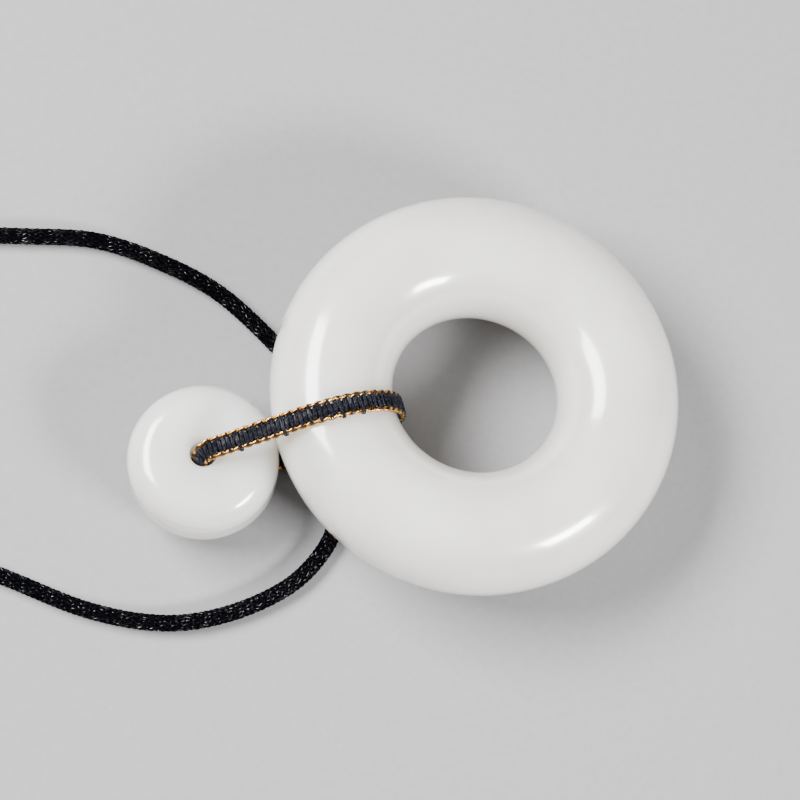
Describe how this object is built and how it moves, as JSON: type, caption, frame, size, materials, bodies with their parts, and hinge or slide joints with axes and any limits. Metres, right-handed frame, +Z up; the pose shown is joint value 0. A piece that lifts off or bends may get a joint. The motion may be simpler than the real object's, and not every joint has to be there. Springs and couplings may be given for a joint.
{
  "type": "jade ring pendant on a cord loop",
  "caption": "Round white jade ring with a round section, tied to a flat round jade bead by a woven strap, with a braided cord loop to hang it by, lying on a table.",
  "frame": {"origin": "on the table, beneath the middle of the ring, bead and strap together, measured without the cord", "axes": "+X from the bead's side to the ring's side, +Z up from the table, +Y away from the side it is seen from"},
  "size_m": [0.1883, 0.0593, 0.0217],
  "materials": {
    "jade": "greasy polish",
    "strap_weave": "woven, with a gold edge thread",
    "cord_braid": "satin braid",
    "join": "satin"
  },
  "bodies": {
    "root": {"ring": "jade", "bead": "jade", "strap": "strap_weave", "cord": "cord_braid", "cord_join": "join"}
  },
  "joints": []
}
